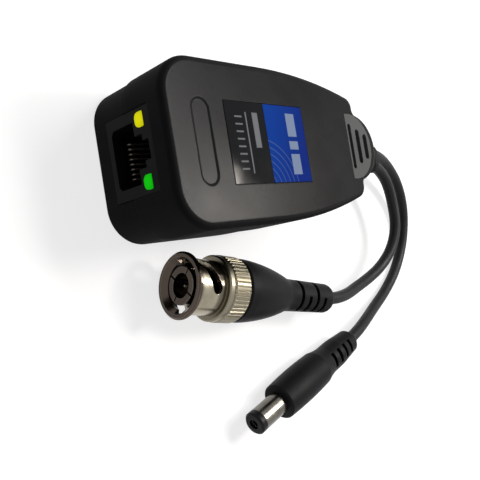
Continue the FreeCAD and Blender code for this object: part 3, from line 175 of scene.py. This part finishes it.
def shade(colour, factor):
    return (*(min(1.0, value * factor) for value in colour), 1)


def times(value, factors):
    return [value * factor for factor in factors]


def moulded(name, colour, roughness, specular, grain=SKIN_GRAIN, depth=SKIN_GRAIN_DEPTH, edge=SKIN_EDGE,
            wear=SKIN_WEAR, blotch=HANDLING_BLOTCH, wall_roughness=None):
    """An injection-moulded skin: fine grain, handling blotches in the gloss, and edges rubbed paler."""
    made = Finish(name, colour, roughness, specular=specular)
    near_edge = made.edges(edge)
    patches = made.noise(blotch, ROUGH)
    gloss = made.between(patches, *times(roughness, HANDLED_GLOSS))
    if wall_roughness:
        normal = made.add("ShaderNodeNewGeometry").outputs["Normal"]
        levelness = made.spread(made.axes(normal)[2], *LEVEL_FACE)
        wall_gloss = made.between(patches, *times(wall_roughness, WALL_GLOSS))
        steepness = made.math("SUBTRACT", 1.0, levelness)
        gloss = made.math("ADD", made.product(levelness, gloss), made.product(steepness, wall_gloss))
    made.gloss(gloss)
    body = made.shades(made.between(patches), *HANDLED_SHADES)
    made.paint(made.mix(near_edge, body, shade(colour, wear)))
    made.relief(made.noise(grain, GRAINY), depth)
    return made


shell_skin = moulded("shell_black_satin", SHELL_BLACK, SHELL_ROUGHNESS, SHELL_SPECULAR,
                     wall_roughness=WALL_ROUGHNESS)
shell_skin.dress("base_shell")

# The printed board: glass epoxy under green lacquer with paler copper runs, laid on the tray's ribs.
# The wide end carries the socket and the narrow end takes the soldered lead cores.
BOARD_GREEN = (0.012, 0.11, 0.045)
BOARD_GLOSS = (0.24, 0.38)
COPPER_UNDER_LACQUER = (0.03, 0.2, 0.08, 1)
RUN_PITCH = 1.6 * MM
RUN_EDGE = (0.16 * MM, 0.22 * MM)
RUN_HEIGHT = 0.02 * MM
RUN_WANDER = 2 * MM
WANDER_SIZE = 6 * MM
LACQUER_PATCH = 2 * MM

board = Finish("board_green_lacquer", BOARD_GREEN, BOARD_GLOSS[0])
along_x = board.axes(board.place)[0]
wander = board.product(board.noise(WANDER_SIZE, PLAIN), RUN_WANDER)
runs = board.math("PINGPONG", board.math("ADD", along_x, wander), RUN_PITCH / 2)
between_runs = board.spread(runs, *RUN_EDGE)
board.paint(board.mix(between_runs, COPPER_UNDER_LACQUER, (*BOARD_GREEN, 1)))
board.gloss(board.between(board.noise(LACQUER_PATCH), *BOARD_GLOSS))
board.relief(between_runs, -RUN_HEIGHT)
board.dress("circuit_board")

# What is soldered to the board: a ferrite ring wound with enamelled copper, two white surge arresters,
# four black chip resistors, a bare can capacitor, a yellow resettable fuse on two legs, and the leads'
# cores in their red sleeves.
SPECKLE_SHADES = (0.8, 1.15)
SPECKLE_GLOSS = (0.8, 1.2)


def small_part(name, node, colour, roughness, grain, depth, metallic=0.0, specular=0.5):
    """The skin of a small part. Its colour, gloss and height all follow one speckle."""
    made = Finish(name, colour, roughness, metallic, specular)
    speckle = made.noise(grain, ROUGH)
    made.paint(made.shades(made.between(speckle), *SPECKLE_SHADES))
    made.gloss(made.between(speckle, *times(roughness, SPECKLE_GLOSS)))
    made.relief(speckle, depth)
    made.dress(node)


small_part("ferrite_grey", "toroid_core", (0.035, 0.035, 0.04), roughness=0.6,
           grain=0.3 * MM, depth=0.01 * MM)
small_part("enamelled_copper", "toroid_winding", (0.5, 0.17, 0.06), roughness=0.28, metallic=0.9,
           grain=0.6 * MM, depth=0.004 * MM)
small_part("arrester_ceramic", "surge_arresters", (0.7, 0.69, 0.66), roughness=0.25,
           grain=0.8 * MM, depth=0.003 * MM)
small_part("chip_black", "chip_resistors", (0.025, 0.025, 0.027), roughness=0.45,
           grain=0.2 * MM, depth=0.004 * MM)
small_part("can_aluminium", "filter_capacitor", (0.7, 0.7, 0.71), roughness=0.3, metallic=1.0,
           grain=0.5 * MM, depth=0.004 * MM)
small_part("fuse_resin", "resettable_fuse", (0.68, 0.42, 0.04), roughness=0.3,
           grain=0.7 * MM, depth=0.02 * MM)
small_part("core_sleeve_red", "lead_cores", (0.42, 0.03, 0.02), roughness=0.4,
           grain=1.2 * MM, depth=0.01 * MM)

# The modular socket: a housing in smooth black plastic that stands on the board, with a comb under its
# mouth for eight gold-flashed spring wires, whose tails go down through the board. The wires' gold is
# painted dark as the shade deep in the mouth, so only dull glints of them show.
SOCKET_BLACK = (0.0024, 0.0024, 0.0027)
# Gold darkened far below gold: painted shade for the wires deep in the mouth.
CONTACT_GOLD_PAINTED_SHADE = (0.11, 0.095, 0.08)

socket_skin = moulded("socket_black", SOCKET_BLACK, roughness=0.46, specular=0.05, grain=0.35 * MM,
                      depth=0.003 * MM, edge=0.12 * MM, wear=1.8)
socket_skin.dress("jack_housing", "jack_contact_carrier")
small_part("contact_gold", "jack_contacts", CONTACT_GOLD_PAINTED_SHADE, roughness=0.42, metallic=1.0,
           grain=0.3 * MM, depth=0.002 * MM)

# The two signal lights: yellow and green tinted windows, moulded around their chips and their tinned
# wires and pushed into the socket's upper corners. They are lit, so they glow almost evenly and dim a
# little towards their rims.
LIGHT_YELLOW = (0.80, 0.77, 0.0)
LIGHT_GREEN = (0.0, 0.58, 0.0)
LIGHT_STRENGTH = 0.82
LIGHT_CORE = 0.8 * MM
LIGHT_RIM = 2.1 * MM
RIM_DIMMING = 0.78
UNEVEN_GLOW = 0.4 * MM
UNEVEN_SIZE = 0.8 * MM
WINDOW_TINT = 0.08
WINDOW_GLOSS = (0.34, 0.46)
WINDOW_PATCH = 0.6 * MM
WINDOW_RIPPLE = 0.5 * MM
RIPPLE_DEPTH = 0.01 * MM
WINDOW_SPECULAR = 0.04


def lit_window(name, node, colour):
    made = Finish(name, shade(colour, WINDOW_TINT)[:3], WINDOW_GLOSS[0], specular=WINDOW_SPECULAR)
    low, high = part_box(node)
    across, _, height = made.axes(made.offset((low + high) / 2))
    uneven = made.product(made.noise(UNEVEN_SIZE), UNEVEN_GLOW)
    glow = made.spread(made.math("ADD", made.distance(across, height), uneven), LIGHT_CORE, LIGHT_RIM)
    lit = made.mix(glow, (*colour, 1), shade(colour, RIM_DIMMING))
    made.feed(made.shader.inputs["Emission Color"], lit)
    made.feed(made.shader.inputs["Emission Strength"], LIGHT_STRENGTH)
    made.gloss(made.between(made.noise(WINDOW_PATCH), *WINDOW_GLOSS))
    made.relief(made.noise(WINDOW_RIPPLE), RIPPLE_DEPTH)
    made.dress(node)


lit_window("light_yellow", "window_yellow", LIGHT_YELLOW)
lit_window("light_green", "window_green", LIGHT_GREEN)
small_part("tinned_wire", "light_leads", (0.55, 0.55, 0.54), roughness=0.3, metallic=1.0,
           grain=0.4 * MM, depth=0.003 * MM)

# The top shell: the same black moulding as the tray, proud of it by 0.3 millimetres all round, with a
# shallow sunk oval for the thumb. Four dark self-tapping screws come up through the tray into its posts.
SCREW_DARK = (0.16, 0.16, 0.165)

shell_skin.dress("top_cover")
small_part("screw_dark", "housing_screws", SCREW_DARK, roughness=0.35, metallic=1.0,
           grain=0.5 * MM, depth=0.004 * MM)

# The strain-relief trim: a D-shaped insert in mid-grey plastic, pressed flush into the nose of the top
# shell, with three blind grooves moulded across it for grip.
TRIM_GREY = (0.074, 0.077, 0.077)

trim_skin = moulded("trim_grey", TRIM_GREY, roughness=0.5, specular=0.12, grain=0.3 * MM,
                    edge=0.15 * MM, wear=1.25)
trim_skin.dress("relief_trim")

# The label: a black glossy film with a blue printed field, stuck into its own shallow pocket. Its print is
# a plain rule, a block and a row of ticks on the black, and pale arcs and a broken bar on the blue.
FILM_BLACK = (0.0045, 0.0050, 0.0062)
FILM_SPECULAR = 0.085
FILM_GLOSS = (0.05, 0.10)
FILM_PATCH = 5 * MM
FILM_WAVE = 7 * MM
FILM_WAVE_DEPTH = 0.012 * MM
PRINT_SILVER = (0.17, 0.18, 0.195, 1)
PRINT_PALE = (0.20, 0.26, 0.40, 1)
PRINT_EDGE = 0.03 * MM
TICK_PITCH = 1.5 * MM
TICK_HALF_WIDTH = 0.16 * MM
TICKS = (2.0, 14.4, 2.4, 4.4)
RULE = (2.0, 14.4, 5.4, 5.75)
BLOCK = (2.0, 9.2, 7.4, 9.0)
FIELD_BRIGHT = (0.001, 0.047, 0.320)
FIELD_DEEP = (0.001, 0.019, 0.205)
FIELD_SPECULAR = 0.05
FADE_LENGTH = 13 * MM
FADE_SLANT = 0.25
ARC_CENTRE = (18 * MM, -3 * MM)
ARC_PITCH = 1.35 * MM
ARC_HALF_WIDTH = 0.10 * MM
ARC_REACH = (4 * MM, 11 * MM)
ARC_SHOW = 0.28
BARS = ((1.6, 6.6, 6.6, 9.4), (7.6, 9.4, 6.6, 9.4), (10.4, 14.8, 6.6, 9.4))


def band(made, value, low, high, soft=PRINT_EDGE):
    """1 where the value lies between low and high, with a softened border."""
    rising = made.spread(value, low - soft, low + soft)
    falling = made.spread(value, high + soft, high - soft)
    return made.product(rising, falling)


def stripes(made, value, pitch, half_width):
    return band(made, made.math("PINGPONG", value, pitch / 2), -pitch, half_width)


def film_finish(name, node, colour, specular):
    """A glossy printed film that lies a little wavy, with its distances from its left and front edges."""
    made = Finish(name, colour, FILM_GLOSS[0], specular=specular)
    made.gloss(made.between(made.noise(FILM_PATCH), *FILM_GLOSS))
    made.relief(made.noise(FILM_WAVE, SMOOTH), FILM_WAVE_DEPTH)
    from_left, from_front, _ = made.axes(made.offset(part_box(node)[0]))
    return made, from_left, from_front


def printed(made, from_left, from_front, rectangle):
    """A rectangle's left, right, front and rear, in millimetres from the film's front left corner."""
    left, right, front, rear = times(MM, rectangle)
    return made.product(band(made, from_left, left, right), band(made, from_front, front, rear))


film, from_left, from_front = film_finish("label_black_film", "label", FILM_BLACK, FILM_SPECULAR)
ticks = film.product(stripes(film, from_left, TICK_PITCH, TICK_HALF_WIDTH),
                     printed(film, from_left, from_front, TICKS))
lines = film.larger(printed(film, from_left, from_front, RULE), printed(film, from_left, from_front, BLOCK))
film.paint(film.mix(film.larger(ticks, lines), (*FILM_BLACK, 1), PRINT_SILVER))
film.dress("label")

field, from_left, from_front = film_finish("label_blue_print", "label_blue_field", FIELD_BRIGHT,
                                           FIELD_SPECULAR)
slant = field.math("ADD", from_front, field.product(from_left, FADE_SLANT))
ground = field.mix(field.spread(slant, 0.0, FADE_LENGTH), (*FIELD_BRIGHT, 1), (*FIELD_DEEP, 1))
reach = field.distance(field.math("SUBTRACT", from_left, ARC_CENTRE[0]),
                       field.math("SUBTRACT", from_front, ARC_CENTRE[1]))
arcs = field.product(stripes(field, reach, ARC_PITCH, ARC_HALF_WIDTH), band(field, reach, *ARC_REACH))
ground = field.mix(field.product(arcs, ARC_SHOW), ground, PRINT_PALE)
bars = 0.0
for rectangle in BARS:
    bars = field.larger(bars, printed(field, from_left, from_front, rectangle))
field.paint(field.mix(bars, ground, PRINT_PALE))
field.dress("label_blue_field")

# The cord grommet: a long ringed bush in soft black PVC, moulded round both leads and trapped between
# the shells at the nose.
BOOT_BLACK = (0.0048, 0.0048, 0.0054)

boot_skin = moulded("boot_black_soft", BOOT_BLACK, roughness=0.5, specular=0.09, grain=0.5 * MM,
                    depth=0.012 * MM, wear=1.7, blotch=5 * MM)
boot_skin.dress("cord_grommet")

# The two leads: round black PVC cords 3.2 millimetres thick, one screened for the picture and one with
# two cores for power. Both are short, leave the bush side by side and curl back to their plugs.
LEAD_DIAMETER = 3.2 * MM
LEAD_BLACK = (0.0115, 0.0115, 0.0128)
LEAD_GLOSS = (0.36, 0.50)
LEAD_SHADES = (0.8, 1.25)
MOTTLE_SIZE = 4 * MM
LEAD_GRAIN = 0.35 * MM
LEAD_WAVE = 3 * MM
WAVE_TO_GRAIN = 6
LEAD_RELIEF = 0.01 * MM
LEAD_ORDER = 3
LEAD_STEPS = 10
LEAD_ROUNDNESS = 5
VIDEO_ROUTE = [(0.0018, 0.04855, 0.0105), (0.0018, 0.05215, 0.0105), (0.0056, 0.0578, 0.0099),
               (0.0114, 0.0607, 0.0091), (0.02, 0.0619, 0.0084), (0.0268, 0.0588, 0.0074),
               (0.0314, 0.0531, 0.0063), (0.034, 0.0464, 0.0056), (0.0356, 0.0392, 0.0059),
               (0.0367, 0.0333, 0.0067), (0.0367, 0.02585, 0.00735), (0.03571, 0.02136, 0.00735)]
POWER_ROUTE = [(-0.0018, 0.04855, 0.0105), (-0.0018, 0.05215, 0.0105), (0.0004, 0.062, 0.0082),
               (0.0062, 0.0704, 0.0062), (0.0146, 0.0749, 0.0043), (0.0247, 0.0744, 0.0025),
               (0.0336, 0.0686, 0.00172), (0.0396, 0.0601, 0.00172), (0.0434, 0.0511, 0.0024),
               (0.046, 0.0437, 0.0038), (0.04828, 0.0367, 0.0047), (0.04947, 0.03226, 0.0047)]

lead_skin = Finish("lead_black_pvc", LEAD_BLACK, LEAD_GLOSS[0], specular=0.14)
mottle = lead_skin.noise(MOTTLE_SIZE)
lead_skin.gloss(lead_skin.between(mottle, *LEAD_GLOSS))
lead_skin.paint(lead_skin.shades(lead_skin.between(mottle), *LEAD_SHADES))
slow_waves = lead_skin.product(lead_skin.noise(LEAD_WAVE, SMOOTH), WAVE_TO_GRAIN)
lead_skin.relief(lead_skin.math("ADD", lead_skin.noise(LEAD_GRAIN, SOFT), slow_waves), LEAD_RELIEF)


def lead(name, node, route):
    """A cord along its route, which takes the place of its plain solid and is parented to the balun's body.
    """
    line = bpy.data.curves.new(name, "CURVE")
    line.dimensions = "3D"
    spline = line.splines.new("NURBS")
    spline.points.add(len(route) - 1)
    for point, place in zip(spline.points, route):
        point.co = (*place, 1)
    spline.order_u = LEAD_ORDER
    spline.use_endpoint_u = True
    spline.resolution_u = LEAD_STEPS
    line.bevel_depth = LEAD_DIAMETER / 2
    line.bevel_resolution = LEAD_ROUNDNESS
    line.use_fill_caps = True
    line.materials.append(lead_skin.material)
    cord = bpy.data.objects.new(name, line)
    bpy.context.scene.collection.objects.link(cord)
    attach(cord, "balun")
    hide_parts(node)


lead("video_cord", "video_lead", VIDEO_ROUTE)
lead("power_cord", "power_lead", POWER_ROUTE)

# The bayonet video plug: a turned brass body and coupling nut, both nickel plated, a white insulator, a
# gold pin and a red gasket. Fine lathe lines ring the plating. Brown is painted in as shade in the nut's
# mouth and in the groove before the knurl, and as a dark reflection on the nut's rim.
# Darker than bare nickel: partly the plating's own colour, partly a painted dark reflection.
NUT_NICKEL = (0.33, 0.298, 0.222)
PLATE_GLOSS = (0.75, 1.35)
PLATE_SHADES = (0.84, 1.08)
PLATE_WEAR = 1.25
WEAR_SHOW = 0.35
LATHE_PITCH = 0.10 * MM
LATHE_DEPTH = 0.0012 * MM
LATHE_DULLNESS = 0.05
PLATE_PATCH = 2.5 * MM
KNURL_SHADE = 0.66
KNURL_DULLNESS = 0.14
# Brown painted shade for the nut's mouth and groove, and a brown painted dark reflection on its rim.
PAINTED_SHADE_AND_REFLECTION = (0.068, 0.053, 0.044, 1)
MOUTH_RADIUS = 5.0 * MM
MOUTH_BLEND = 0.5 * MM
RIM_END = 1.5 * MM
RIM_BLEND = 0.8 * MM
GROOVE = (6.3 * MM, 8.1 * MM)
GROOVE_BLEND = 0.4 * MM
# How much of the painted shade falls in the groove before the knurl.
GROOVE_SHADE_SHARE = 0.75
COLLAR_START = 8.0 * MM
COLLAR_BLEND = 0.3 * MM
BAYONET_TIP = Vector((0.02575, -0.02355, 0.00735))
BAYONET_ANGLE = math.radians(77.5)


def turned_nickel(name, tip, angle, colour, roughness, edge, paints_shade=False):
    """Nickel plate over lathe lines that ring the plug's axis, with duller patches and brighter edges.

    A station is a distance from the plug's tip along its axis.
    """
    made = Finish(name, colour, roughness, metallic=1.0)
    near_edge = made.edges(edge)
    spin = made.add("ShaderNodeVectorRotate", {"Vector": made.offset(tip), "Angle": -angle},
                    rotation_type="Z_AXIS")
    station, across, height = made.axes(spin.outputs[0])
    lines = made.add("ShaderNodeTexNoise", {"W": station, "Scale": 1 / LATHE_PITCH, "Detail": SOFT},
                     noise_dimensions="1D").outputs[0]
    patches = made.noise(PLATE_PATCH, ROUGH)
    gloss = made.math("ADD", made.between(patches, *times(roughness, PLATE_GLOSS)),
                      made.product(lines, LATHE_DULLNESS))
    plate = made.shades(made.between(patches), *PLATE_SHADES)
    # Paints brown shade into the mouth and the groove, and a brown dark reflection onto the rim.
    if paints_shade:
        inside = made.spread(made.distance(across, height), MOUTH_RADIUS + MOUTH_BLEND, MOUTH_RADIUS)
        on_rim = made.spread(station, RIM_END + RIM_BLEND, RIM_END)
        in_groove = made.product(band(made, station, *GROOVE, GROOVE_BLEND), GROOVE_SHADE_SHARE)
        on_collar = made.spread(station, COLLAR_START, COLLAR_START + COLLAR_BLEND)
        gloss = made.math("ADD", gloss, made.product(on_collar, KNURL_DULLNESS))
        plate = made.mix(on_collar, plate, shade(colour, KNURL_SHADE))
        plate = made.mix(made.larger(made.larger(inside, on_rim), in_groove), plate, PAINTED_SHADE_AND_REFLECTION)
    made.gloss(gloss)
    made.paint(made.mix(made.product(near_edge, WEAR_SHOW), plate, shade(colour, PLATE_WEAR)))
    made.relief(lines, LATHE_DEPTH)
    return made


nut_nickel = turned_nickel("nut_nickel", BAYONET_TIP, BAYONET_ANGLE, NUT_NICKEL, roughness=0.17,
                           edge=0.12 * MM, paints_shade=True)
nut_nickel.dress("coupling_nut", "plug_body", "wave_washer", "thrust_washer", "crimp_sleeve")
small_part("insulator_white", "plug_dielectric", (0.80, 0.72, 0.64), roughness=0.4, specular=0.2,
           grain=0.6 * MM, depth=0.004 * MM)
small_part("pin_gold", "plug_pin", (0.15, 0.125, 0.10), roughness=0.2, metallic=1.0,
           grain=0.4 * MM, depth=0.002 * MM)
small_part("gasket_red", "plug_gasket", (0.16, 0.02, 0.017), roughness=0.5, specular=0.2,
           grain=0.5 * MM, depth=0.004 * MM)

# The two boots: soft black PVC moulded over the crimped ends, with slots in their tails to let them flex.
# They come from the same compound as the bush at the nose, so they share its skin.
boot_skin.dress("video_boot", "power_boot")

# The power plug: a nickel-plated brass tube with a black tip ring pressed into its end, and a smaller
# contact tube down its middle. The tube carries the same lathe lines as the video plug, and no painted
# shade.
# Darker than the nut's nickel on the same plating: a painted dark reflection.
BARREL_NICKEL = (0.15, 0.141, 0.122)
TIP_BLACK = (0.006, 0.006, 0.0065)
BARREL_TIP = Vector((0.05982, -0.00638, 0.0047))
BARREL_ANGLE = math.radians(105.0)

barrel_nickel = turned_nickel("barrel_nickel", BARREL_TIP, BARREL_ANGLE, BARREL_NICKEL, roughness=0.2,
                              edge=0.1 * MM)
barrel_nickel.dress("barrel_sleeve", "barrel_centre_contact")
tip_skin = moulded("tip_ring_black", TIP_BLACK, roughness=0.38, specular=0.12, depth=0.003 * MM,
                   edge=0.15 * MM, wear=1.5)
tip_skin.dress("barrel_insulator")

# The photographer's table: a plain pale sheet, wide enough to reach the horizon of every view. It shows
# near white where it is lit and keeps the object's shadow.
TABLE_GREY = (0.42, 0.42, 0.42)
TABLE_HALF_WIDTH = 3.0
TABLE_LIFT = 0.72


def shown(recipe):
    """1 for a ray that shows something: one straight from the camera, mirrored or let through."""
    rays = recipe.add("ShaderNodeLightPath").outputs
    bounced = recipe.larger(rays["Is Glossy Ray"], rays["Is Transmission Ray"])
    return recipe.larger(rays["Is Camera Ray"], bounced)


sheet = bpy.data.meshes.new("table_top")
work = bmesh.new()
bmesh.ops.create_grid(work, x_segments=1, y_segments=1, size=TABLE_HALF_WIDTH)
work.to_mesh(sheet)
work.free()
table_top = bpy.data.objects.new("table_top", sheet)
bpy.context.scene.collection.objects.link(table_top)
table = Finish("table_pale", TABLE_GREY, roughness=0.7, specular=0.1)
table.feed(table.shader.inputs["Emission Color"], (1, 1, 1, 1))
table.feed(table.shader.inputs["Emission Strength"], table.product(shown(table), TABLE_LIFT))
table_top.data.materials.append(table.material)

# The room round the table: it shows white where it is seen, mirrored or looked at through something,
# and it is dim as a light of its own.
ROOM_LEVEL = 0.18

room = bpy.data.worlds.new("studio")
bpy.context.scene.world = room
air = Recipe(room)
backdrop = air.tree.nodes["Background"]
air.feed(backdrop.inputs["Color"], (1, 1, 1, 1))
air.feed(backdrop.inputs["Strength"], air.spread(shown(air), 0.0, 1.0, ROOM_LEVEL, 1.0))

# The lamps: a wide soft box above and behind the object, a small window's glint under it that lights one
# corner of the label, and a broad dim panel at the side. Each is given by its place, its aim, its width
# and height in metres, its watts and its colour.
LAMPS = {
    "key_box": ((-0.105, 0.265, 0.44), (0.005, -0.01, 0.02), 0.32, 0.10, 1.95, (1.0, 0.98, 0.955)),
    "window_glint": ((-0.030, 0.3076, 0.3746), (0.007, -0.018, 0.0235), 0.075, 0.05, 0.55, (1.0, 0.93, 0.85)),
    "side_panel": ((0.60, -0.25, 0.55), (0.02, 0.0, 0.01), 0.5, 0.5, 0.7, (1.0, 0.98, 0.96)),
}

for name, (place, aim, width, height, watts, colour) in LAMPS.items():
    lamp = bpy.data.lights.new(name, "AREA")
    lamp.shape = "RECTANGLE"
    lamp.size = width
    lamp.size_y = height
    lamp.energy = watts
    lamp.color = colour
    stand = bpy.data.objects.new(name, lamp)
    bpy.context.scene.collection.objects.link(stand)
    stand.location = place
    stand.rotation_euler = (Vector(aim) - Vector(place)).to_track_quat("-Z", "Y").to_euler()

# The camera: held on its side, close above the socket's end of the housing, at the photograph's angle
# and with its field of view.
SENSOR_WIDTH = 36.0
FOCAL_LENGTH = 44.2028
NEAREST = 0.005
CAMERA_PLACE = (0.0225476, -0.0979991, 0.1028328)
CAMERA_RIGHT = (0.160896, 0.706711, 0.688965)
CAMERA_UP = (-0.986443, 0.0923, 0.13569)
CAMERA_BACK = (0.032302, -0.701456, 0.71198)

lens = bpy.data.cameras.new("camera")
lens.sensor_width = SENSOR_WIDTH
lens.lens = FOCAL_LENGTH
lens.clip_start = NEAREST
camera = bpy.data.objects.new("camera", lens)
bpy.context.scene.collection.objects.link(camera)
turned_camera = Matrix((CAMERA_RIGHT, CAMERA_UP, CAMERA_BACK)).transposed().to_4x4()
camera.matrix_world = Matrix.Translation(CAMERA_PLACE) @ turned_camera
bpy.context.scene.camera = camera
bpy.context.scene.view_settings.view_transform = "Standard"
